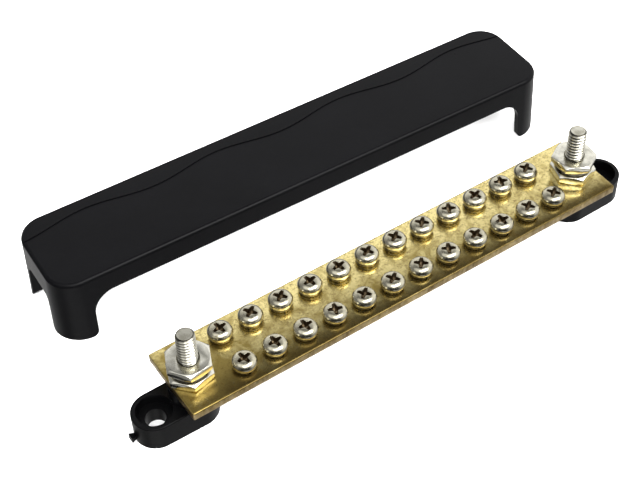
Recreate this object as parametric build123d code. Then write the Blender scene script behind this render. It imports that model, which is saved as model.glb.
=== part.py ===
from build123d import *
import math
import os

# Covered negative bus bar, in millimetres.
# The origin is on the mounting surface, midway between the two mounting holes.
# +X runs along the bar, +Z is up, and the removed cover stands on the +Y side.

# ---- driving dimensions: terminal bar ----
screw_pitch = 11.4
screws_per_row = 12
row_spacing = 14.66
bar_length = 170.6
bar_width = 28.4
bar_thickness = 3.2
bar_corner_radius = 0.6
bar_underside = 15.1
bar_top = bar_underside + bar_thickness

# ---- driving dimensions: clearances ----
running_clearance = 0.06
loose_clearance = 0.15

# ---- length of a cut that goes right through any one piece ----
through_cut = 60.0

# ---- driving dimensions: terminal screws and their spring washers ----
screw_shank_radius = 2.05
screw_length = 9.5
screw_tip_chamfer = 0.5
screw_head_radius = 4.15
screw_head_height = 3.0
screw_head_wall = 1.3
screw_head_flat_radius = 1.9
recess_span = 4.9
recess_width = 1.15
recess_depth = 1.9
recess_taper = 6
recess_angles = {
    "front": (10, 5, 0, 70, 40, 35, 50, 60, 20, 85, 35, 35),
    "back": (10, 35, 40, 10, 10, 30, 35, 45, 60, 15, 70, 35),
}
spring_washer_inner_radius = 2.3
spring_washer_outer_radius = 3.75
spring_washer_height = 1.4
spring_washer_slit = 0.7
spring_washer_turns = {"front": (-98, -84, -70), "back": (35, 70, 105)}
washer_slit_slant = 30

# ---- driving dimensions: studs and their nuts ----
stud_spacing = 156.0
stud_radius = 3.175
stud_grip_radius = 3.0
stud_top_above_bar = 19.3
stud_tip_chamfer = 0.5
bolt_head_across_flats = 11.1
bolt_head_height = 4.4
nut_across_flats = 14.0
nut_height = 3.1
nut_chamfer = 0.5
fixing_nut_turns = {"left": 12, "right": 15}
terminal_nut_turns = {"left": 6, "right": 28}
lock_washer_inner_radius = 3.35
lock_washer_outer_radius = 6.2
lock_washer_height = 1.9
lock_washer_slit = 1.3
lock_washer_turns = {"left": -60, "right": 180}

# ---- driving dimensions: feet ----
mounting_hole_spacing = 184.0
ear_radius = 7.6
ear_height = 9.9
boss_radius = 7.8
mounting_hole_radius = 3.4
counterbore_radius = 6.0
counterbore_depth = 4.0
pocket_depth = 5.0
foot_edge_radius = 0.5
gate_stub_length = 2.4
gate_stub_root_width = 1.3
gate_stub_root_height = 1.2
gate_stub_tip_width = 2.6
gate_stub_tip_height = 2.4
gate_stub_base = 1.2
gate_stub_overlap = 0.6

# ---- driving dimensions: cover ----
cover_top_length = 198.6
cover_top_width = 36.1
cover_top_corner_radius = 9.3
cover_height = 26.2
cover_draft_angle = 2.46
cover_wall = 2.2
cover_end_wall = 3.6
cover_edge_radius = 1.4
side_arch_half_width = 87.7
side_arch_height = 18.0
side_arch_corner_radius = 8.0
end_arch_half_width = 8.0
end_arch_height = 16.2
end_arch_corner_radius = 3.5
leg_tip_radius = 2.5
arch_lean_angle = 2.2
socket_outer_radius = 5.0
socket_length = 7.0
socket_depth = 6.4
socket_overlap = 1.1
wave_groove_width = 0.9
wave_groove_depth = 0.35
wave_centre_offset = 10.5
wave_amplitude = 1.7
wave_length = 51.2
wave_phase_shift = 1.5
wave_points_per_period = 8
wave_overrun = 1.0
cover_rest_position = (-0.15, 61.0, 0.0)
cover_rest_turn = -1.92

# ---- values worked out from the driving dimensions ----
stud_x = stud_spacing / 2
hole_x = mounting_hole_spacing / 2
stud_top = bar_top + stud_top_above_bar
fixing_nut_base = bar_top
lock_washer_base = fixing_nut_base + nut_height
terminal_nut_base = lock_washer_base + lock_washer_height
terminal_nut_top = terminal_nut_base + nut_height
sides = {"left": -1, "right": 1}
rows = {"front": -1, "back": 1}


def screw_x(index):
    """X of a screw, counted from 0 at the left end of its row."""
    return (index - (screws_per_row - 1) / 2) * screw_pitch


def row_y(row):
    return rows[row] * row_spacing / 2


def export(shape, node):
    """Write one piece as its own STEP file, named after its node."""
    shape.label = node
    export_step(shape, os.path.join("parts", node + ".step"))
    print(f"{node}: {len(shape.solids())} solid(s), {shape.volume:.0f} mm3")


def make_bus_bar():
    bar = extrude(RectangleRounded(bar_length, bar_width, bar_corner_radius), bar_thickness)
    tapped_hole = Cylinder(screw_shank_radius + running_clearance, through_cut)
    for row in rows:
        for index in range(screws_per_row):
            bar -= Pos(screw_x(index), row_y(row), 0) * tapped_hole
    stud_hole = Cylinder(stud_radius + loose_clearance, through_cut)
    for side in sides.values():
        bar -= Pos(side * stud_x, 0, 0) * stud_hole
    return Pos(0, 0, bar_underside) * bar


def make_foot(side_name):
    """One end support, made along +X and turned to face its own end."""
    ear = Pos(hole_x, 0, 0) * Circle(ear_radius)
    under_bar = Pos(stud_x, 0, 0) * Circle(boss_radius)
    foot = extrude(make_hull((ear + under_bar).edges()), ear_height)
    foot = fillet(foot.faces().sort_by(Axis.Z)[-1].edges(), foot_edge_radius)
    boss = Pos(stud_x, 0, bar_underside / 2) * Cylinder(boss_radius, bar_underside)
    foot += boss
    hole = Cylinder(mounting_hole_radius, through_cut)
    counterbore = Pos(0, 0, ear_height) * Cylinder(counterbore_radius, 2 * counterbore_depth)
    foot -= Pos(hole_x, 0, 0) * (hole + counterbore)
    bolt_hole = Cylinder(stud_radius + loose_clearance, through_cut)
    pocket = hexagon_prism(bolt_head_across_flats + 2 * loose_clearance, pocket_depth)
    foot -= Pos(stud_x, 0, 0) * (bolt_hole + pocket)
    if side_name == "left":
        foot += make_gate_stub()
        foot = Rot(0, 0, 180) * foot
    return foot


def make_gate_stub():
    """The torn-off moulding gate on the outer end of the ear: a short stub that flares outward."""
    root = Plane.YZ * Rectangle(gate_stub_root_width, gate_stub_root_height)
    tip_plane = Plane.YZ.offset(gate_stub_length)
    tip = tip_plane * Rectangle(gate_stub_tip_width, gate_stub_tip_height)
    stub = loft(Sketch() + [root, tip])
    start = hole_x + ear_radius - gate_stub_overlap
    return Pos(start, 0, gate_stub_base + gate_stub_tip_height / 2) * stub


def hexagon_prism(across_flats, height):
    hexagon = RegularPolygon(across_flats / 2, 6, major_radius=False)
    return extrude(hexagon, height)


def make_stud(side):
    """A hex-head bolt that stands up through the foot and the bar.

    The grip inside the foot, bar and nuts is slimmer than the free thread above them.
    """
    head_base = pocket_depth - bolt_head_height
    head = Pos(0, 0, head_base) * hexagon_prism(bolt_head_across_flats, bolt_head_height)
    grip_length = terminal_nut_top - pocket_depth
    grip = Pos(0, 0, pocket_depth + grip_length / 2) * Cylinder(stud_grip_radius, grip_length)
    thread_length = stud_top - terminal_nut_top
    thread = Pos(0, 0, stud_top - thread_length / 2) * Cylinder(stud_radius, thread_length)
    thread = chamfer(thread.edges().sort_by(Axis.Z)[-1], stud_tip_chamfer)
    return Pos(side * stud_x, 0, 0) * (head + grip + thread)


def make_nut(turn):
    """A thin hexagon nut whose corners are chamfered at both faces."""
    blank = hexagon_prism(nut_across_flats, nut_height)
    corner_radius = nut_across_flats / math.sqrt(3)
    chamfer_round = Pos(0, 0, nut_height / 2) * Cylinder(corner_radius, nut_height)
    chamfer_round = chamfer(
        chamfer_round.edges().filter_by(GeomType.CIRCLE), nut_chamfer, 2 * nut_chamfer
    )
    bore = Cylinder(stud_radius + running_clearance, through_cut)
    return Rot(0, 0, turn) * ((blank & chamfer_round) - bore)


def make_split_washer(inner_radius, outer_radius, height, slit, turn):
    """A spring washer: a flat ring cut once by a slanted slit."""
    ring = Cylinder(outer_radius, height) - Cylinder(inner_radius, through_cut)
    slot = Rot(washer_slit_slant, 0, 0) * Box(2 * outer_radius, slit, through_cut)
    gap = Pos(outer_radius, 0, 0) * slot
    return Rot(0, 0, turn) * Pos(0, 0, height / 2) * (ring - gap)


def make_screw(recess_angle):
    """A pan-head screw with a cross recess; the underside of the head is at Z = 0."""
    profile = make_face(
        Polyline(
            (0, 0),
            (screw_head_radius, 0),
            (screw_head_radius, screw_head_wall),
        )
        + TangentArc(
            (screw_head_flat_radius, screw_head_height),
            (screw_head_radius, screw_head_wall),
            tangent=(1, 0),
        )
        + Polyline(
            (screw_head_flat_radius, screw_head_height),
            (0, screw_head_height),
            (0, 0),
        )
    )
    head = revolve(Plane.XZ * profile, Axis.Z)
    slot = Rectangle(recess_span, recess_width)
    cross = slot + Rot(0, 0, 90) * slot
    cutter = extrude(cross, -recess_depth, taper=recess_taper)
    head -= Rot(0, 0, recess_angle) * Pos(0, 0, screw_head_height) * cutter
    shank = Pos(0, 0, -screw_length / 2) * Cylinder(screw_shank_radius, screw_length)
    shank = chamfer(shank.edges().sort_by(Axis.Z)[0], screw_tip_chamfer)
    return head + shank


def arch_cutter(plane, half_width, height, corner_radius, depth):
    """A prism that cuts an arch through both opposite walls.

    The arch widens downward, and flares at its foot to round the tips of the legs.
    """
    base_half_width = half_width + height * math.tan(math.radians(arch_lean_angle))
    reach = base_half_width + 2 * leg_tip_radius
    right = [
        (half_width, height),
        (base_half_width, 0),
        (reach, 0),
        (reach, -leg_tip_radius),
    ]
    left = [(-x, z) for x, z in reversed(right)]
    outline = make_face(Polyline(*right, *left, close=True))
    outline = fillet(outline.vertices().group_by(Axis.Y)[-1], corner_radius)
    at_base = [v for v in outline.vertices() if abs(v.Y) < leg_tip_radius / 2]
    tips = sorted(at_base, key=lambda v: abs(v.X))[:2]
    outline = fillet(tips, leg_tip_radius)
    return extrude(plane * outline, depth, both=True)


def wave_y(x):
    """The wavy groove on the cover's top: its Y at a given X."""
    angle = 2 * math.pi * (x - wave_phase_shift) / wave_length
    return wave_centre_offset - wave_amplitude * math.cos(angle)


def make_wave_groove():
    reach = cover_top_length / 2 + wave_overrun
    count = round(2 * reach / wave_length * wave_points_per_period)
    xs = [-reach + 2 * reach * i / count for i in range(count + 1)]
    low = [(x, wave_y(x) - wave_groove_width / 2) for x in xs]
    high = [(x, wave_y(x) + wave_groove_width / 2) for x in xs]
    outline = Spline(*low) + Line(low[-1], high[-1]) + Spline(*high) + Line(high[0], low[0])
    groove = extrude(make_face(outline), 2 * wave_groove_depth)
    return Pos(0, 0, cover_height - wave_groove_depth) * groove


def make_cover():
    """A tray-shaped shell on four corner legs, with a socket inside for each stud."""
    spread = cover_height * math.tan(math.radians(cover_draft_angle))
    foot_length = cover_top_length + 2 * spread
    foot_width = cover_top_width + 2 * spread
    foot_corner = cover_top_corner_radius + spread
    outer = extrude(
        RectangleRounded(foot_length, foot_width, foot_corner),
        cover_height,
        taper=cover_draft_angle,
    )
    outer = fillet(outer.faces().sort_by(Axis.Z)[-1].edges(), cover_edge_radius)
    roof_underside = cover_height - cover_wall
    inner = extrude(
        RectangleRounded(
            foot_length - 2 * cover_end_wall,
            foot_width - 2 * cover_wall,
            foot_corner - cover_wall,
        ),
        roof_underside,
        taper=cover_draft_angle,
    )
    shell = outer - inner
    shell -= arch_cutter(
        Plane.XZ, side_arch_half_width, side_arch_height, side_arch_corner_radius, foot_width
    )
    shell -= arch_cutter(
        Plane.YZ, end_arch_half_width, end_arch_height, end_arch_corner_radius, foot_length
    )
    socket_base = roof_underside - socket_length
    socket_height = socket_length + socket_overlap
    socket = Pos(0, 0, socket_height / 2) * Cylinder(socket_outer_radius, socket_height)
    bore = Cylinder(stud_radius + running_clearance, 2 * socket_depth)
    for side in sides.values():
        at_socket = Pos(side * stud_x, 0, socket_base)
        shell += at_socket * socket
        shell -= at_socket * bore
    shell -= make_wave_groove()
    return Location(cover_rest_position, (0, 0, cover_rest_turn)) * shell


export(make_cover(), "cover")
export(make_bus_bar(), "bus_bar")

for name, side in sides.items():
    at_stud = Pos(side * stud_x, 0, 0)
    export(make_foot(name), f"foot_{name}")
    export(make_stud(side), f"stud_{name}")
    fixing_nut = Pos(0, 0, fixing_nut_base) * make_nut(fixing_nut_turns[name])
    export(at_stud * fixing_nut, f"fixing_nut_{name}")
    lock_washer = make_split_washer(
        lock_washer_inner_radius,
        lock_washer_outer_radius,
        lock_washer_height,
        lock_washer_slit,
        lock_washer_turns[name],
    )
    export(at_stud * Pos(0, 0, lock_washer_base) * lock_washer, f"lock_washer_{name}")
    terminal_nut = Pos(0, 0, terminal_nut_base) * make_nut(terminal_nut_turns[name])
    export(at_stud * terminal_nut, f"terminal_nut_{name}")

for row in rows:
    washer_turns = spring_washer_turns[row]
    for index in range(screws_per_row):
        number = f"{index + 1:02d}"
        at_screw = Pos(screw_x(index), row_y(row), bar_top)
        washer = make_split_washer(
            spring_washer_inner_radius,
            spring_washer_outer_radius,
            spring_washer_height,
            spring_washer_slit,
            washer_turns[index % len(washer_turns)],
        )
        export(at_screw * washer, f"spring_washer_{row}_{number}")
        screw = make_screw(recess_angles[row][index])
        at_head = at_screw * Pos(0, 0, spring_washer_height)
        export(at_head * screw, f"terminal_screw_{row}_{number}")
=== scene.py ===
import math

import bmesh
import bpy
from mathutils import Matrix, Vector


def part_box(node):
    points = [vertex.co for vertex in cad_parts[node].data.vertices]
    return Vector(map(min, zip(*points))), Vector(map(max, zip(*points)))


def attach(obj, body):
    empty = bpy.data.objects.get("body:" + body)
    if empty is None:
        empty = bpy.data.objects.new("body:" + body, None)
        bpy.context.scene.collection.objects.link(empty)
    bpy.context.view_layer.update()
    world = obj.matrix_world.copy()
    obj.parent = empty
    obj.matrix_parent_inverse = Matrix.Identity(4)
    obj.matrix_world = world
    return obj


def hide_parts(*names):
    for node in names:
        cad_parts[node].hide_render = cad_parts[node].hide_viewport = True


# The looks of a covered terminal bus bar, in metres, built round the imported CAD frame.
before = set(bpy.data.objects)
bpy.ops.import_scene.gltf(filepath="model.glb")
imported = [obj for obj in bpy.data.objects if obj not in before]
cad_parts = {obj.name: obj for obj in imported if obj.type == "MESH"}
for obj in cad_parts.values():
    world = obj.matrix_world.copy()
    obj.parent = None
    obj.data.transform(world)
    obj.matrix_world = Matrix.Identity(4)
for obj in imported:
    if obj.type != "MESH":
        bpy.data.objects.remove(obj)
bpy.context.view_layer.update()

MM = 0.001
sides = ("left", "right")
rows = ("front", "back")
screws_per_row = 12

# ---- sizes of the threads and hexagons ----
stud_pitch = 1.27 * MM
stud_thread_major = 3.17 * MM
stud_thread_depth = 0.62 * MM
screw_pitch = 0.794 * MM
screw_thread_major = 2.04 * MM
screw_thread_depth = 0.36 * MM
nut_across_flats = 14.0 * MM
bolt_head_across_flats = 11.1 * MM

# ---- how each loose piece happens to be turned about its own axis, in degrees ----
recess_turns = {
    "front": (10, 5, 0, 70, 40, 35, 50, 60, 20, 85, 35, 35),
    "back": (10, 35, 40, 10, 10, 30, 35, 45, 60, 15, 70, 35),
}
spring_washer_turns = {"front": (-98, -84, -70), "back": (35, 70, 105)}
lock_washer_turns = {"left": -60, "right": 180}
fixing_nut_turns = {"left": 12, "right": 15}
terminal_nut_turns = {"left": 6, "right": 28}


# =====================================================================
# Camera
# =====================================================================
def make_camera():
    """A camera in front of the bar's left end, looking down along the bar."""
    data = bpy.data.cameras.new("camera")
    data.lens = 74.09
    data.sensor_width = 36.0
    data.clip_start = 0.01
    data.clip_end = 20.0
    camera = bpy.data.objects.new("camera", data)
    bpy.context.scene.collection.objects.link(camera)
    azimuth, elevation, roll = math.radians(-32.605), math.radians(46.895), math.radians(-1.92)
    distance = 446.1 * MM
    back = Vector((
        math.sin(azimuth) * math.cos(elevation),
        -math.cos(azimuth) * math.cos(elevation),
        math.sin(elevation),
    ))
    right = (-back).cross(Vector((0, 0, 1))).normalized()
    up = right.cross(-back)
    camera_x = right * math.cos(roll) + up * math.sin(roll)
    camera_y = up * math.cos(roll) - right * math.sin(roll)
    rotation = Matrix((camera_x, camera_y, back)).transposed().to_4x4()
    bar_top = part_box("bus_bar")[1].z
    target = Vector((-13.5 * MM, 23.7 * MM, bar_top))
    camera.matrix_world = Matrix.Translation(target + back * distance) @ rotation
    bpy.context.scene.camera = camera


# =====================================================================
# Node helpers
# =====================================================================
class Nodes:
    """Short calls that add nodes to one node tree."""

    def __init__(self, tree):
        self.tree = tree

    def node(self, kind, **settings):
        made = self.tree.nodes.new(kind)
        for key, value in settings.items():
            setattr(made, key, value)
        return made

    def link(self, source, target):
        self.tree.links.new(source, target)

    def feed(self, socket, value):
        """Gives an input a number, a colour or another node's output."""
        if isinstance(value, (int, float)):
            socket.default_value = value
        elif isinstance(value, tuple):
            socket.default_value = (*value, 1.0)
        else:
            self.link(value, socket)

    def math(self, operation, *values):
        made = self.node("ShaderNodeMath", operation=operation)
        for socket, value in zip(made.inputs, values):
            self.feed(socket, value)
        return made.outputs["Value"]

    def spread(self, value, low, high, out_low=0.0, out_high=1.0, curve="LINEAR"):
        """Maps low..high to out_low..out_high, clamped."""
        made = self.node("ShaderNodeMapRange", interpolation_type=curve)
        ends = {"From Min": low, "From Max": high, "To Min": out_low, "To Max": out_high}
        for name, number in ends.items():
            made.inputs[name].default_value = number
        self.link(value, made.inputs["Value"])
        return made.outputs["Result"]


class Shader(Nodes):
    """A principled material, laid out in the object's own coordinates."""

    def __init__(self, name):
        self.material = bpy.data.materials.new(name)
        self.material.use_nodes = True
        super().__init__(self.material.node_tree)
        self.body = self.tree.nodes["Principled BSDF"]
        self.place = self.node("ShaderNodeTexCoord").outputs["Object"]

    def plan(self):
        """The X and Y of each point."""
        split = self.node("ShaderNodeSeparateXYZ")
        self.link(self.place, split.inputs["Vector"])
        return split.outputs["X"], split.outputs["Y"]

    def stretch(self, scale, turn=(0, 0, 0)):
        """The coordinates turned by degrees and scaled along each axis."""
        mapping = self.node("ShaderNodeMapping")
        mapping.inputs["Scale"].default_value = scale
        mapping.inputs["Rotation"].default_value = [math.radians(angle) for angle in turn]
        self.link(self.place, mapping.inputs["Vector"])
        return mapping.outputs["Vector"]

    def noise(self, scale, detail=4, roughness=0.6, vector=None, distortion=0.0):
        made = self.node("ShaderNodeTexNoise")
        made.inputs["Scale"].default_value = scale
        made.inputs["Detail"].default_value = detail
        made.inputs["Roughness"].default_value = roughness
        made.inputs["Distortion"].default_value = distortion
        self.link(vector or self.place, made.inputs["Vector"])
        return made.outputs["Fac"]

    def mix(self, share, a, b):
        """Mixes two colours."""
        made = self.node("ShaderNodeMix", data_type="RGBA")
        self.link(share, made.inputs["Factor"])
        for name, value in (("A", a), ("B", b)):
            socket = [i for i in made.inputs if i.name == name and i.type == "RGBA"][0]
            self.feed(socket, value)
        return [o for o in made.outputs if o.type == "RGBA"][0]

    def bump(self, height, distance):
        """Adds a relief after any relief that is already there."""
        made = self.node("ShaderNodeBump")
        made.inputs["Distance"].default_value = distance
        made.inputs["Strength"].default_value = 1.0
        self.link(height, made.inputs["Height"])
        for link in list(self.body.inputs["Normal"].links):
            self.link(link.from_socket, made.inputs["Normal"])
        self.link(made.outputs["Normal"], self.body.inputs["Normal"])

    def crown(self, tilt, half_width):
        """A slight barrel across Y: the surface tilts by this many degrees at its long edges."""
        _, y = self.plan()
        fall = math.tan(math.radians(tilt)) / (2 * half_width)
        self.bump(self.math("MULTIPLY", self.math("MULTIPLY", y, y), -fall), 1.0)

    def set(self, **values):
        for name, value in values.items():
            self.feed(self.body.inputs[name.replace("_", " ")], value)


# =====================================================================
# Materials
# =====================================================================
def black_plastic(name, base, sheen, rough_low, rough_high, grain):
    """Injection-moulded black plastic with a fine pebble grain and slow changes of gloss."""
    s = Shader(name)
    slow = s.noise(35, detail=3)
    pebble = s.noise(1500, detail=2)
    slow_share = s.spread(slow, 0.3, 0.7, 0.0, 0.6)
    share = s.math("ADD", slow_share, s.spread(pebble, 0.35, 0.65, 0.0, 0.4))
    s.set(Base_Color=s.mix(share, base, tuple(1.7 * c for c in base)))
    s.set(Roughness=s.spread(share, 0.0, 1.0, rough_low, rough_high), Specular_IOR_Level=sheen)
    s.bump(pebble, grain)
    s.bump(s.noise(160, detail=2), 2 * grain)
    return s.material


def brass_stain(s, light, dark, spot, painted_light_bias=0.0):
    """Blotches and fine specks of brown and olive patina on yellow brass; the last argument adds more
    of the dark colour where it is positive and less where negative, as painted shade and painted
    highlight.
    """
    blotch = s.noise(150, detail=6, roughness=0.68, distortion=0.8)
    cloud = s.noise(38, detail=2)
    speck = s.noise(900, detail=5, roughness=0.75)
    amount = s.math("ADD", s.math("MULTIPLY", blotch, 0.75), s.math("MULTIPLY", cloud, 0.25))
    # the share of the dark colour: patina blotches plus the painted light and shade of the last
    # argument
    tarnish_and_painted_light = s.spread(s.math("ADD", amount, painted_light_bias), 0.40, 0.60)
    colour = s.mix(tarnish_and_painted_light, light, dark)
    return s.mix(s.spread(speck, 0.50, 0.66, 0.0, 0.75), colour, spot), tarnish_and_painted_light, speck


def brass_face():
    """The rolled faces of the bar with painted light: painted bright at the back and right, painted
    darker and browner at the front edge and left end, over blotches of patina.
    """
    s = Shader("brass_rolled_face")
    x, y = s.plan()
    # painted light: these gradients push the colour towards brown at the front edge and left end and
    # towards yellow at the back and right, as painted shade and painted reflection
    across = s.spread(y, -13 * MM, 9 * MM, 0.06, -0.07)
    left_end = s.spread(x, -85 * MM, -55 * MM, 0.13, 0.0)
    along = s.math("ADD", left_end, s.spread(x, -55 * MM, 80 * MM, 0.0, -0.07))
    painted_light_bias = s.math("ADD", across, along)
    yellow, brown, spot = (0.97, 0.82, 0.37), (0.44, 0.33, 0.10), (0.26, 0.17, 0.05)
    colour, tarnish_and_painted_light, speck = brass_stain(s, yellow, brown, spot, painted_light_bias)
    # painted shade: the front half of the face is mixed towards near-black brown (0.13, 0.09, 0.028),
    # most at the front edge and less at the far left end
    wander = s.math("MULTIPLY", s.noise(210, detail=5, roughness=0.7), 9 * MM)
    rim = s.spread(s.math("ADD", y, wander), -9 * MM, 0, 0.92, 0.0)
    rim = s.math("MULTIPLY", rim, s.spread(x, -84 * MM, -70 * MM, 0.25, 1.0))
    s.set(Base_Color=s.mix(rim, colour, (0.13, 0.09, 0.028)), Metallic=1.0)
    speck_rough = s.spread(speck, 0.3, 0.7, -0.03, 0.06)
    s.set(Roughness=s.math("ADD", s.spread(tarnish_and_painted_light, 0, 1, 0.18, 0.30), speck_rough))
    s.crown(6.0, 14 * MM)
    s.bump(s.noise(60, detail=3, vector=s.stretch((1, 14, 1))), 0.012 * MM)
    s.bump(s.noise(420, detail=4), 0.012 * MM)
    s.bump(s.noise(2200, detail=3), 0.004 * MM)
    return s.material


def brass_cut():
    """The sawn edges of the bar, with slanted tool marks."""
    s = Shader("brass_cut_edge")
    dull, brown, spot = (0.56, 0.41, 0.17), (0.24, 0.16, 0.055), (0.10, 0.065, 0.025)
    colour, tarnish_and_painted_light, _ = brass_stain(s, dull, brown, spot)
    marks = s.noise(700, detail=4, vector=s.stretch((1, 1, 0.25), turn=(0, 35, 0)))
    bare_metal = (0.70, 0.57, 0.33)
    s.set(Base_Color=s.mix(s.spread(marks, 0.42, 0.66, 0.0, 0.5), colour, bare_metal), Metallic=1.0)
    s.set(Roughness=s.spread(tarnish_and_painted_light, 0, 1, 0.30, 0.46))
    s.bump(marks, 0.03 * MM)
    return s.material


def steel(name, base, dull, rough_low, rough_high, grain):
    """Bright or darkened steel with faint dull patches and fine marks."""
    s = Shader(name)
    patch = s.noise(420, detail=4)
    fine = s.noise(2600, detail=3)
    s.set(Base_Color=s.mix(s.spread(patch, 0.42, 0.68), base, dull), Metallic=1.0)
    patch_rough = s.spread(patch, 0.3, 0.7, rough_low, rough_high)
    s.set(Roughness=s.math("ADD", patch_rough, s.spread(fine, 0.3, 0.7, -0.03, 0.03)))
    s.bump(s.noise(900, detail=4), grain)
    return s


def turned_rings(s, spacing, depth):
    """Fine rings left by a lathe tool round the object's own Z axis."""
    spacing_at_scale_one = 0.314
    wave = s.node("ShaderNodeTexWave", wave_type="RINGS", rings_direction="Z")
    wave.inputs["Scale"].default_value = spacing_at_scale_one / spacing
    wave.inputs["Distortion"].default_value = 0.6
    wave.inputs["Detail"].default_value = 2
    s.link(s.place, wave.inputs["Vector"])
    s.bump(wave.outputs["Fac"], depth)


def painted_root_shade(s, root, crest):
    """Darkens a thread from its crest down to its root, by distance from the object's Z axis, as
    painted shade in its grooves.
    """
    x, y = s.plan()
    radius = s.math("SQRT", s.math("ADD", s.math("MULTIPLY", x, x), s.math("MULTIPLY", y, y)))
    in_root = s.math("LESS_THAN", radius, root + 0.96 * (crest - root))
    near_root = s.math("GREATER_THAN", radius, 0.98 * root)
    deep, shallow = root + 0.15 * (crest - root), root + 0.95 * (crest - root)
    depth = s.spread(radius, deep, shallow, 0.97, 0.0)
    unshaded = [link.from_socket for link in s.body.inputs["Base Color"].links][0]
    shade_in_roots = s.math("MULTIPLY", depth, s.math("MULTIPLY", in_root, near_root))
    # painted shade: near-black (0.05, 0.045, 0.035) deep in the thread roots
    s.set(Base_Color=s.mix(shade_in_roots, unshaded, (0.05, 0.045, 0.035)))


def make_materials():
    """Every material of the pieces, by its plain name."""
    # colour, gloss, lowest and highest roughness, depth of the grain
    plastics = {
        "cover_plastic": ((0.0008, 0.0008, 0.0010), 0.11, 0.27, 0.36, 0.012 * MM),
        "foot_plastic": ((0.0006, 0.0006, 0.0007), 0.13, 0.32, 0.44, 0.010 * MM),
    }
    # colour, dull colour, lowest and highest roughness, depth of the grain
    steels = {
        "screw_plating": ((0.68, 0.64, 0.50), (0.48, 0.45, 0.35), 0.20, 0.30, 0.006 * MM),
        # painted shade: dark brown steel for the walls of the cross recess
        "recess_painted_shade": ((0.20, 0.15, 0.09), (0.06, 0.04, 0.02), 0.34, 0.50, 0.010 * MM),
        # partly painted shade: dark steel, darkened further to stand in for the shade under the screw
        # heads
        "washer_steel": ((0.24, 0.21, 0.14), (0.07, 0.06, 0.04), 0.22, 0.34, 0.008 * MM),
        "lock_washer_steel": ((0.13, 0.12, 0.10), (0.05, 0.045, 0.035), 0.30, 0.42, 0.010 * MM),
        "stud_plating": ((0.70, 0.68, 0.59), (0.48, 0.46, 0.38), 0.14, 0.24, 0.006 * MM),
        "nut_plating": ((0.88, 0.86, 0.76), (0.68, 0.66, 0.57), 0.13, 0.22, 0.005 * MM),
    }
    made = {name: black_plastic(name, *look) for name, look in plastics.items()}
    made["brass_rolled_face"] = brass_face()
    made["brass_cut_edge"] = brass_cut()
    shaders = {name: steel(name, *look) for name, look in steels.items()}
    stud_thread_root = stud_thread_major - stud_thread_depth
    # painted shade in the stud's thread roots
    painted_root_shade(shaders["stud_plating"], stud_thread_root, stud_thread_major)
    turned_rings(shaders["nut_plating"], 0.22 * MM, 0.004 * MM)
    made.update((name, shader.material) for name, shader in shaders.items())
    return made


# =====================================================================
# Mesh helpers
# =====================================================================
def polar(radius, angle, z):
    """The point at a radius and an angle about the Z axis."""
    return (radius * math.cos(angle), radius * math.sin(angle), z)


def finish_mesh(mesh, sharp_angle):
    """Smooth shading that stays crisp at edges sharper than an angle."""
    for polygon in mesh.polygons:
        polygon.use_smooth = True
    mesh.set_sharp_from_angle(angle=math.radians(sharp_angle))
    return mesh


def mesh_from(bm, name):
    bmesh.ops.recalc_face_normals(bm, faces=bm.faces)
    mesh = bpy.data.meshes.new(name)
    bm.to_mesh(mesh)
    bm.free()
    return mesh


def add_object(name, mesh, place=(0, 0, 0), turn=0.0):
    """Puts a mesh in the scene, turned by degrees about Z."""
    made = bpy.data.objects.new(name, mesh)
    bpy.context.scene.collection.objects.link(made)
    made.matrix_world = Matrix.Translation(place) @ Matrix.Rotation(math.radians(turn), 4, "Z")
    return made


def dress(piece, body, node, slot, *materials):
    """Gives a piece its materials, ties it to its body and hides its CAD node; the slot is not used."""
    if not piece.data.materials:
        for material in materials:
            piece.data.materials.append(material)
    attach(piece, body)
    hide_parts(node)


def bridge(bm, low, high):
    """Faces between two rings, where either may be a single pole."""
    count = max(len(low), len(high))
    for i in range(count):
        j = (i + 1) % count
        if len(low) == 1:
            bm.faces.new((low[0], high[i], high[j]))
        elif len(high) == 1:
            bm.faces.new((low[i], low[j], high[0]))
        else:
            bm.faces.new((low[i], low[j], high[j], high[i]))


def revolve(profile, steps):
    """A surface of revolution about Z from (radius, z) points; a radius of 0 makes a pole."""
    bm = bmesh.new()
    rings = []
    for radius, z in profile:
        count = steps if radius else 1
        rings.append([bm.verts.new(polar(radius, math.tau * i / steps, z)) for i in range(count)])
    for low, high in zip(rings, rings[1:]):
        bridge(bm, low, high)
    return bm


def boolean(target, cutter, operation):
    """Cuts or intersects one mesh with another and returns the new mesh."""
    a = bpy.data.objects.new("boolean_target", target)
    b = bpy.data.objects.new("boolean_cutter", cutter)
    for made in (a, b):
        bpy.context.scene.collection.objects.link(made)
    modifier = a.modifiers.new("boolean", "BOOLEAN")
    modifier.object = b
    modifier.operation = operation
    modifier.solver = "EXACT"
    bpy.context.view_layer.update()
    graph = bpy.context.evaluated_depsgraph_get()
    result = bpy.data.meshes.new_from_object(a.evaluated_get(graph))
    for made in (a, b):
        bpy.data.objects.remove(made)
    return result


def bevel_sharp(mesh, width, angle=35):
    """Rounds the edges that are sharper than an angle."""
    bm = bmesh.new()
    bm.from_mesh(mesh)
    bmesh.ops.remove_doubles(bm, verts=bm.verts, dist=1e-7)
    bmesh.ops.dissolve_limit(bm, angle_limit=math.radians(0.2), verts=bm.verts, edges=bm.edges)
    limit = math.radians(angle)
    sharp = [e for e in bm.edges if len(e.link_faces) == 2 and e.calc_face_angle() > limit]
    bmesh.ops.bevel(
        bm, geom=sharp, offset=width, segments=2, profile=0.5,
        affect="EDGES", clamp_overlap=True, material=-1,
    )
    bm.to_mesh(mesh)
    bm.free()
    return mesh


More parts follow.
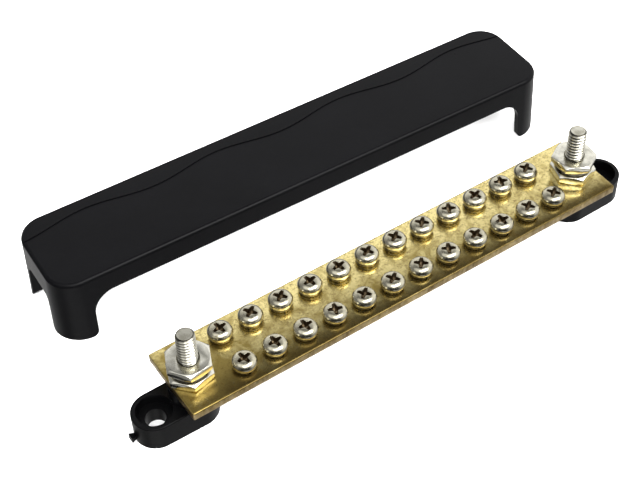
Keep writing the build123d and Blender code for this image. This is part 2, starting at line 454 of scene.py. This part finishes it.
def hexagon_prism(across_flats, low, high):
    """A hexagonal prism with its corners at 0 degrees, 60 degrees and so on."""
    radius = across_flats / 2 / math.cos(math.pi / 6)
    outline = [(0, low), (radius, low), (radius, high), (0, high)]
    return mesh_from(revolve(outline, steps=6), "prism")


# =====================================================================
# Threads
# =====================================================================
thread_crest_share = 0.125
thread_root_share = 0.2


def thread_radius(phase, major, depth):
    """Radius of a thread at a share of its pitch: crest flat, flank, root flat, flank."""
    flank = (1 - thread_crest_share - thread_root_share) / 2
    if phase < thread_crest_share:
        return major
    if phase < thread_crest_share + flank:
        return major - depth * (phase - thread_crest_share) / flank
    if phase < thread_crest_share + flank + thread_root_share:
        return major - depth
    return major - depth * (1 - phase) / flank


def helix_rod(major, depth, pitch, low, high, steps):
    """A closed threaded rod whose mesh rows follow the helix, past low..high by two turns each way."""
    # shares of one pitch: the crest, the flank down, the root and the flank up
    phases = (0.0, 0.125, 0.24, 0.352, 0.4625, 0.6625, 0.775, 0.89)
    spare = 2
    turns = math.ceil((high - low) / pitch) + 2 * spare + 1
    bm = bmesh.new()
    grid = []
    for turn in range(turns):
        for phase in phases:
            radius = thread_radius(phase, major, depth)
            row = []
            for i in range(steps):
                z = low + pitch * (turn - spare - 1 + phase + i / steps)
                row.append(bm.verts.new(polar(radius, math.tau * i / steps, z)))
            grid.append(row)
    for low_row, high_row in zip(grid, grid[1:]):
        for i in range(steps - 1):
            bm.faces.new((low_row[i], low_row[i + 1], high_row[i + 1], high_row[i]))
    per_turn = len(phases)
    for j in range(len(grid) - 1 - per_turn):
        k = j + per_turn
        bm.faces.new((grid[j][-1], grid[k][0], grid[k + 1][0], grid[j + 1][-1]))
    bmesh.ops.holes_fill(bm, edges=[e for e in bm.edges if e.is_boundary], sides=0)
    bmesh.ops.triangulate(bm, faces=[f for f in bm.faces if len(f.verts) > 4])
    return mesh_from(bm, "thread")


def threaded_rod(major, depth, pitch, low, high, chamfer_low, chamfer_high, steps):
    """A threaded rod cut to length, with chamfered ends."""
    rod = helix_rod(major, depth, pitch, low, high, steps)
    wide = 1.5 * major
    profile = [(0, low), (major - chamfer_low, low), (wide, low + wide - major + chamfer_low)]
    profile += [(wide, high - wide + major - chamfer_high), (major - chamfer_high, high), (0, high)]
    envelope = mesh_from(revolve(profile, steps), "envelope")
    return boolean(rod, envelope, "INTERSECT")


# =====================================================================
# Bus bar
# =====================================================================
def rounded_outline(half_x, half_y, radius, steps=5):
    """A rectangle with round corners, from the corner at +X +Y onwards."""
    points = []
    for sx, sy, start in ((1, 1, 0), (-1, 1, 90), (-1, -1, 180), (1, -1, 270)):
        for i in range(steps + 1):
            angle = math.radians(start + 90 * i / steps)
            points.append((
                sx * (half_x - radius) + radius * math.cos(angle),
                sy * (half_y - radius) + radius * math.sin(angle),
            ))
    return points


def hole_cutter(centre, radius, low, high):
    """What a round hole takes out, with a small flare at both faces."""
    flare, past = 0.25 * MM, 1 * MM
    profile = [
        (0, low - past), (radius + flare + past, low - past), (radius + flare, low),
        (radius, low + flare), (radius, high - flare), (radius + flare, high),
        (radius + flare + past, high + past), (0, high + past),
    ]
    mesh = mesh_from(revolve(profile, steps=40), "hole")
    mesh.transform(Matrix.Translation((centre.x, centre.y, 0)))
    return mesh


def bar_blank(low, high):
    """The bar before it is drilled: softly rolled-off top edges and small edge radii."""
    half_x, half_y = (high.x - low.x) / 2, (high.y - low.y) / 2
    thick = high.z - low.z
    corner, least_corner = 0.6 * MM, 0.25 * MM
    # (inset, height) in mm of each ring round the bar, from the underside up to the flat top
    drawn_thick = 3.2 * MM
    profile = (
        (0.30, 0.0), (0.10, 0.08), (0.0, 0.30), (0.0, 2.72), (0.03, 2.86), (0.12, 2.97),
        (0.30, 3.045), (0.8, 3.10), (1.6, 3.15), (2.6, 3.185), (3.8, 3.20),
    )
    bm = bmesh.new()
    rings = []
    for inset, height in profile:
        inset *= MM
        points = rounded_outline(half_x - inset, half_y - inset, max(corner - inset, least_corner))
        z = low.z + height * MM * thick / drawn_thick
        rings.append([bm.verts.new((x, y, z)) for x, y in points])
    for a, b in zip(rings, rings[1:]):
        bridge(bm, a, b)
    bm.faces.new(rings[0])
    bm.faces.new(rings[-1])
    return mesh_from(bm, "bus_bar_look")


def mark_sawn_edges(mesh, high):
    """Gives the upright faces at the bar's outline the second material."""
    rim, upright = 0.5 * MM, 0.3
    for polygon in mesh.polygons:
        x, y = abs(polygon.center.x), abs(polygon.center.y)
        outer = x > high.x - rim or y > high.y - rim
        if outer and abs(polygon.normal.z) < upright:
            polygon.material_index = 1


def make_bus_bar(materials):
    """The brass bar with its flared holes for the screws and studs."""
    low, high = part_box("bus_bar")
    mesh = bar_blank(low, high)
    screw_hole, stud_hole = screw_thread_major + 0.02 * MM, 3.3 * MM
    for row in rows:
        for index in range(screws_per_row):
            hole = hole_cutter(screw_centre(row, index), screw_hole, low.z, high.z)
            mesh = boolean(mesh, hole, "DIFFERENCE")
    for side in sides:
        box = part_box("stud_" + side)
        hole = hole_cutter((box[0] + box[1]) / 2, stud_hole, low.z, high.z)
        mesh = boolean(mesh, hole, "DIFFERENCE")
    finish_mesh(mesh, sharp_angle=40)
    mesh.materials.append(materials["brass_rolled_face"])
    mesh.materials.append(materials["brass_cut_edge"])
    mark_sawn_edges(mesh, high)
    bar = add_object("bus_bar_look", mesh)
    dress(bar, "base", "bus_bar", "brass")


# =====================================================================
# Terminal screws and their spring washers
# =====================================================================
def screw_centre(row, index):
    """The middle of a screw's head, at its top."""
    low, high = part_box(f"terminal_screw_{row}_{index + 1:02d}")
    return Vector(((low.x + high.x) / 2, (low.y + high.y) / 2, high.z))


def recess_outline(reach, tip_half, inner):
    """One turn of a cross-shaped outline: four wings with blunt tips and inner corners between."""
    tip = math.atan2(tip_half, reach)
    tip_radius = math.hypot(reach, tip_half)
    corner = inner * math.sqrt(0.5)
    half = [(share * tip, reach / math.cos(share * tip)) for share in (0.0, 0.55, 0.9)]
    half.append((1.06 * tip, tip_radius * 0.985))
    for share in (0.12, 0.3, 0.52, 0.74, 0.9, 1.0):
        x = reach + (corner - reach) * share
        y = tip_half + (corner - tip_half) * share
        half.append((math.atan2(y, x), math.hypot(x, y)))
    turn = [(-angle, radius) for angle, radius in half[:0:-1]] + half
    points = []
    for wing in range(4):
        points += [(wing * math.pi / 2 + angle, radius) for angle, radius in turn[1:]]
    return points


def make_screw_head(head_height):
    """A pan head with a cross recess; its top is at Z = 0, and the recess has the second material, a
    dark painted shade.
    """
    head_radius, dome_height = 4.15 * MM, 1.7 * MM
    flat_radius, seat_radius = 1.9 * MM, 2.0 * MM
    # radius of the arc that falls from the flat top to the head's side
    arc = ((head_radius - flat_radius) ** 2 + dome_height ** 2) / (2 * dome_height)
    outline = recess_outline(2.42 * MM, 0.50 * MM, 1.15 * MM)
    floor_outline = recess_outline(1.45 * MM, 0.40 * MM, 0.72 * MM)
    recess_depth, cone_depth = 1.75 * MM, 0.5 * MM
    lip_depth, lip_width, first_circle = 0.07 * MM, 0.16 * MM, 3.0 * MM
    bm = bmesh.new()
    rings = [[bm.verts.new((0, 0, -recess_depth - cone_depth))]]

    def dome(radius):
        if radius <= flat_radius:
            return 0.0
        return math.sqrt(max(arc * arc - (radius - flat_radius) ** 2, 0)) - arc

    def ring(points):
        rings.append([bm.verts.new(p) for p in points])

    for share in (0.45, 0.92):
        z = -recess_depth - cone_depth * (1 - share)
        ring([polar(radius * share, angle, z) for angle, radius in floor_outline])
    for share in (0.08, 0.4, 0.7, 0.93):
        ring([
            polar(
                inner + (outer - inner) * share, angle,
                -recess_depth + (recess_depth - lip_depth + dome(outer)) * share,
            )
            for (angle, outer), (_, inner) in zip(outline, floor_outline)
        ])
    recess_faces = len(outline) * len(rings)
    for out, drop in ((0.01 * MM, 0.7), (0.035 * MM, 0.28), (0.085 * MM, 0.05), (lip_width, 0.0)):
        ring([polar(r + out, angle, dome(r + out) - drop * lip_depth) for angle, r in outline])
    for blend in (0.35, 0.7, 1.0):
        blended = [(a, (r + lip_width) * (1 - blend) + first_circle * blend) for a, r in outline]
        ring([polar(radius, angle, dome(radius)) for angle, radius in blended])
    for radius in (3.25 * MM, 3.5 * MM, 3.7 * MM, 3.86 * MM, 3.98 * MM, 4.07 * MM, 4.13 * MM):
        ring([polar(radius, angle, dome(radius)) for angle, _ in outline])
    edge = 0.26 * MM
    for radius, z in (
        (head_radius, -dome_height), (head_radius, edge - head_height),
        (head_radius - 0.3 * edge, 0.3 * edge - head_height), (head_radius - edge, -head_height),
        (seat_radius, -head_height),
    ):
        ring([polar(radius, angle, z) for angle, _ in outline])
    for low, high in zip(rings, rings[1:]):
        bridge(bm, low, high)
    bm.faces.new(rings[-1])
    # the recess faces take the dark painted shade material
    for index, face in enumerate(bm.faces):
        face.material_index = 1 if index < recess_faces else 0
    return mesh_from(bm, "terminal_screw_look")


def make_screw_mesh(materials):
    """A pan-head screw with a real thread."""
    head_height, shank_length, sunk = 3.0 * MM, 9.5 * MM, 0.3 * MM
    head = make_screw_head(head_height)
    head.materials.append(materials["screw_plating"])
    head.materials.append(materials["recess_painted_shade"])
    shank = threaded_rod(
        screw_thread_major, screw_thread_depth, screw_pitch,
        -(head_height + shank_length), -head_height + sunk, 0.5 * MM, 0, steps=28,
    )
    bm = bmesh.new()
    bm.from_mesh(head)
    bm.from_mesh(shank)
    bm.to_mesh(head)
    bm.free()
    return finish_mesh(head, sharp_angle=50)


def split_ring(name, inner, outer, height, rise, slit, slant, edge, steps):
    """A spring washer: a ring of square section, cut once and sprung into a short helix."""
    section = [
        (inner + edge, 0), (outer - edge, 0), (outer, edge), (outer, height - edge),
        (outer - edge, height), (inner + edge, height), (inner, height - edge), (inner, edge),
    ]
    middle = (inner + outer) / 2
    half_gap = slit / 2 / middle
    lean = math.tan(math.radians(slant)) / middle
    bm = bmesh.new()
    rings = []
    for i in range(steps + 1):
        share = i / steps
        around = half_gap + (math.tau - 2 * half_gap) * share
        rings.append([
            bm.verts.new(polar(radius, around + lean * (z - height / 2), z + rise * share))
            for radius, z in section
        ])
    for a, b in zip(rings, rings[1:]):
        bridge(bm, a, b)
    bm.faces.new(rings[0])
    bm.faces.new(rings[-1])
    return finish_mesh(mesh_from(bm, name), sharp_angle=50)


def make_screws(materials):
    """Every terminal screw with its spring washer; the screws share one mesh, and so do the washers."""
    screw = make_screw_mesh(materials)
    washer_low, washer_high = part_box("spring_washer_front_01")
    rise = 0.28 * MM
    washer = split_ring(
        "spring_washer_look", inner=2.25 * MM, outer=3.78 * MM,
        height=washer_high.z - washer_low.z - rise, rise=rise,
        slit=0.55 * MM, slant=-28, edge=0.20 * MM, steps=72,
    )
    for row in rows:
        for index in range(screws_per_row):
            number = f"{row}_{index + 1:02d}"
            centre = screw_centre(row, index)
            piece = add_object(f"screw_{number}_look", screw, centre, recess_turns[row][index])
            dress(piece, f"screw_{number}", f"terminal_screw_{number}", "screw_steel")
            turns = spring_washer_turns[row]
            base = Vector((centre.x, centre.y, washer_low.z))
            piece = add_object(f"washer_{number}_look", washer, base, turns[index % len(turns)])
            # the spring washer's dark colour is partly painted shade under the head
            dress(
                piece, f"washer_{number}", f"spring_washer_{number}", "washer_steel",
                materials["washer_steel"],
            )


# =====================================================================
# Studs, nuts and lock washers
# =====================================================================
def make_stud(side, materials):
    """The hex-head bolt: its thread shows above the nuts, its head in the pocket under the foot."""
    low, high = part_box("stud_" + side)
    head_height = 4.4 * MM
    rod = threaded_rod(
        stud_thread_major, stud_thread_depth, stud_pitch,
        low.z + head_height / 2, high.z, 0, 0.65 * MM, steps=48,
    )
    head = hexagon_prism(bolt_head_across_flats, low.z, low.z + head_height)
    rim = 0.5 * bolt_head_across_flats
    head_top = low.z + head_height + MM
    rounding = mesh_from(revolve([
        (0, low.z - MM), (rim * 0.9, low.z - 0.001 * MM), (rim * 1.2, low.z + 0.9 * MM),
        (rim * 1.3, head_top), (0, head_top),
    ], steps=48), "rounding")
    head = bevel_sharp(boolean(head, rounding, "INTERSECT"), width=0.12 * MM)
    bm = bmesh.new()
    bm.from_mesh(rod)
    bm.from_mesh(head)
    mesh = finish_mesh(mesh_from(bm, f"stud_{side}_look"), sharp_angle=42)
    piece = add_object(f"stud_{side}_look", mesh, ((low.x + high.x) / 2, 0, 0))
    dress(piece, "base", "stud_" + side, "plated_stud", materials["stud_plating"])


def make_nut_mesh(height):
    """A thin hexagon nut, chamfered on both faces and countersunk at both ends of its bore."""
    corner = nut_across_flats / math.sqrt(3)
    flat_share, slope, past = 0.965, 0.5, MM
    flat = nut_across_flats / 2 * flat_share
    reach = corner + past
    drop = (reach - flat) * slope
    outside = mesh_from(revolve([
        (0, 0), (flat, 0), (reach, drop), (reach, height - drop), (flat, height), (0, height),
    ], steps=96), "nut_outside")
    body = boolean(hexagon_prism(nut_across_flats, -past, height + past), outside, "INTERSECT")
    bore, sink = 3.2 * MM, 0.45 * MM
    inside = mesh_from(revolve([
        (0, -past), (bore + sink + past, -past), (bore, sink), (bore, height - sink),
        (bore + sink + past, height + past), (0, height + past),
    ], steps=64), "nut_inside")
    mesh = bevel_sharp(boolean(body, inside, "DIFFERENCE"), width=0.13 * MM, angle=22)
    mesh.name = "nut_look"
    return finish_mesh(mesh, sharp_angle=30)


def make_stud_hardware(materials):
    """At each end a stud, a fixing nut, a lock washer and a terminal nut."""
    low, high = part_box("fixing_nut_left")
    nut = make_nut_mesh(high.z - low.z)
    washer_low, washer_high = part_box("lock_washer_left")
    rise = 0.3 * MM
    washer = split_ring(
        "lock_washer_look", inner=3.35 * MM, outer=6.2 * MM,
        height=washer_high.z - washer_low.z - rise, rise=rise,
        slit=1.0 * MM, slant=-30, edge=0.15 * MM, steps=96,
    )
    for side in sides:
        make_stud(side, materials)
        stud_low, stud_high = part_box("stud_" + side)
        x = (stud_low.x + stud_high.x) / 2
        for kind, turns, body in (
            ("fixing_nut", fixing_nut_turns, "base"),
            ("terminal_nut", terminal_nut_turns, f"terminal_nut_{side}"),
        ):
            base = Vector((x, 0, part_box(f"{kind}_{side}")[0].z))
            piece = add_object(f"{kind}_{side}_look", nut, base, turns[side])
            dress(piece, body, f"{kind}_{side}", "plated_nut", materials["nut_plating"])
        base = Vector((x, 0, washer_low.z))
        node = f"lock_washer_{side}"
        piece = add_object(f"{node}_look", washer, base, lock_washer_turns[side])
        dress(piece, node, node, "washer_steel", materials["lock_washer_steel"])


# =====================================================================
# Plastic pieces, taken from their CAD shapes with their edges rounded
# =====================================================================
def make_moulding(node, body, material, edge_radius):
    """A moulded piece with the CAD node's shape and softly rounded edges."""
    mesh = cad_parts[node].data.copy()
    mesh.name = node + "_look"
    mesh.materials.clear()
    finish_mesh(bevel_sharp(mesh, edge_radius), sharp_angle=30)
    piece = add_object(node + "_look", mesh)
    weighting = piece.modifiers.new("flat_faces", "WEIGHTED_NORMAL")
    weighting.weight = 100
    weighting.keep_sharp = True
    dress(piece, body, node, "black_plastic", material)


def make_mouldings(materials):
    make_moulding("cover", "cover", materials["cover_plastic"], 0.25 * MM)
    for side in sides:
        make_moulding("foot_" + side, "base", materials["foot_plastic"], 0.2 * MM)


# =====================================================================
# Floor, light and world
# =====================================================================
def make_floor():
    """A sheet of pale paper just below the feet, which shows in no gloss."""
    half_size, gap = 4.0, 0.02 * MM
    bm = bmesh.new()
    bmesh.ops.create_grid(bm, x_segments=1, y_segments=1, size=half_size)
    floor = add_object("floor", mesh_from(bm, "floor"), (0, 0, -gap))
    s = Shader("floor_paper")
    s.set(Base_Color=s.mix(s.noise(3), (0.93, 0.93, 0.93), (0.95, 0.95, 0.95)), Roughness=0.9)
    floor.data.materials.append(s.material)
    floor.visible_glossy = False


def make_backdrop():
    """A pale wall round the stage that only the camera sees, so low views end in white paper."""
    radius, bottom, top = 3.9, -0.1, 3.5
    mesh = mesh_from(revolve([(radius, bottom), (radius, top), (0, top)], steps=96), "backdrop")
    wall = add_object("backdrop", mesh)
    s = Shader("backdrop_paper")
    paper = s.mix(s.noise(2), (0.88, 0.88, 0.88), (0.91, 0.91, 0.91))
    s.set(Base_Color=(0.0, 0.0, 0.0), Roughness=1.0, Specular_IOR_Level=0.0)
    s.set(Emission_Color=paper, Emission_Strength=1.0)
    wall.data.materials.append(s.material)
    for ray in ("glossy", "diffuse", "shadow", "transmission"):
        setattr(wall, "visible_" + ray, False)


def add_lamp(name, place, power):
    """A square soft lamp that lights surfaces but does not show in their reflections."""
    size, target = 1.4, (0, 20 * MM, 0)
    data = bpy.data.lights.new(name, "AREA")
    data.size = size
    data.energy = power
    lamp = bpy.data.objects.new(name, data)
    bpy.context.scene.collection.objects.link(lamp)
    lamp.location = place
    lamp.rotation_euler = (Vector(target) - Vector(place)).to_track_quat("-Z", "Y").to_euler()
    lamp.visible_glossy = False


class Sky(Nodes):
    """The studio's surroundings, as a brightness for each direction."""

    def __init__(self):
        world = bpy.data.worlds.new("studio")
        bpy.context.scene.world = world
        world.use_nodes = True
        super().__init__(world.node_tree)
        self.background = self.tree.nodes["Background"]
        self.direction = self.node("ShaderNodeTexCoord").outputs["Generated"]

    def glow(self, heading, elevation, outer, inner, out_low, out_high):
        """Shades directions by how far they point to a heading (0 is +X, 90 is +Y) and elevation:
        out_low where the cosine of the angle between is outer or less, out_high from inner on."""
        level = math.cos(math.radians(elevation))
        made = self.node("ShaderNodeVectorMath", operation="DOT_PRODUCT")
        made.inputs[1].default_value = (
            level * math.cos(math.radians(heading)),
            level * math.sin(math.radians(heading)),
            math.sin(math.radians(elevation)),
        )
        self.link(self.direction, made.inputs[0])
        return self.spread(made.outputs["Value"], outer, inner, out_low, out_high, "SMOOTHSTEP")


def make_world():
    """Bright far walls between a dark ceiling and a dim table, with soft boxes in front of them."""
    sky = Sky()
    ceiling = sky.glow(0, 90, 0.656, 0.87, 1.0, 0.22)
    right_bright = sky.glow(20, 0, -0.45, 0.60, 0.24, 1.05)
    front_dark = sky.glow(-118, 12, 0.50, 0.90, 1.0, 0.12)
    horizon = sky.glow(0, -90, -0.05, 0.12, 1.0, 0.30)
    paper = sky.glow(0, -90, 0.30, 0.62, 0.0, 0.62)
    table = sky.math("ADD", horizon, paper)
    upper = sky.math("MULTIPLY", ceiling, right_bright)
    total = sky.math("MULTIPLY", upper, sky.math("MULTIPLY", front_dark, table))
    # heading, elevation, outer and inner cosine, and brightness of each soft box
    soft_boxes = (
        (-112, 54, 0.93, 0.965, 3.0),
        (190, 62, 0.86, 0.95, 0.9),
        (-60, 56, 0.94, 0.97, 7.0),
        (-122, -47, 0.86, 0.98, 0.7),
        (125, -47, 0.85, 0.97, 0.3),
    )
    for heading, elevation, outer, inner, brightness in soft_boxes:
        box = sky.glow(heading, elevation, outer, inner, 0.0, brightness)
        total = sky.math("ADD", total, box)
    sky.link(total, sky.background.inputs["Strength"])
    sky.background.inputs["Color"].default_value = (1.0, 1.0, 0.99, 1.0)


def make_studio():
    make_floor()
    make_backdrop()
    make_world()
    add_lamp("key", (0.55, 0.75, 1.1), 60)
    add_lamp("fill", (-0.9, -0.6, 0.9), 50)
    add_lamp("front", (0.5, -1.0, 0.9), 50)
    bpy.context.scene.view_settings.view_transform = "Standard"


make_camera()
materials = make_materials()
make_bus_bar(materials)
make_screws(materials)
make_stud_hardware(materials)
make_mouldings(materials)
make_studio()
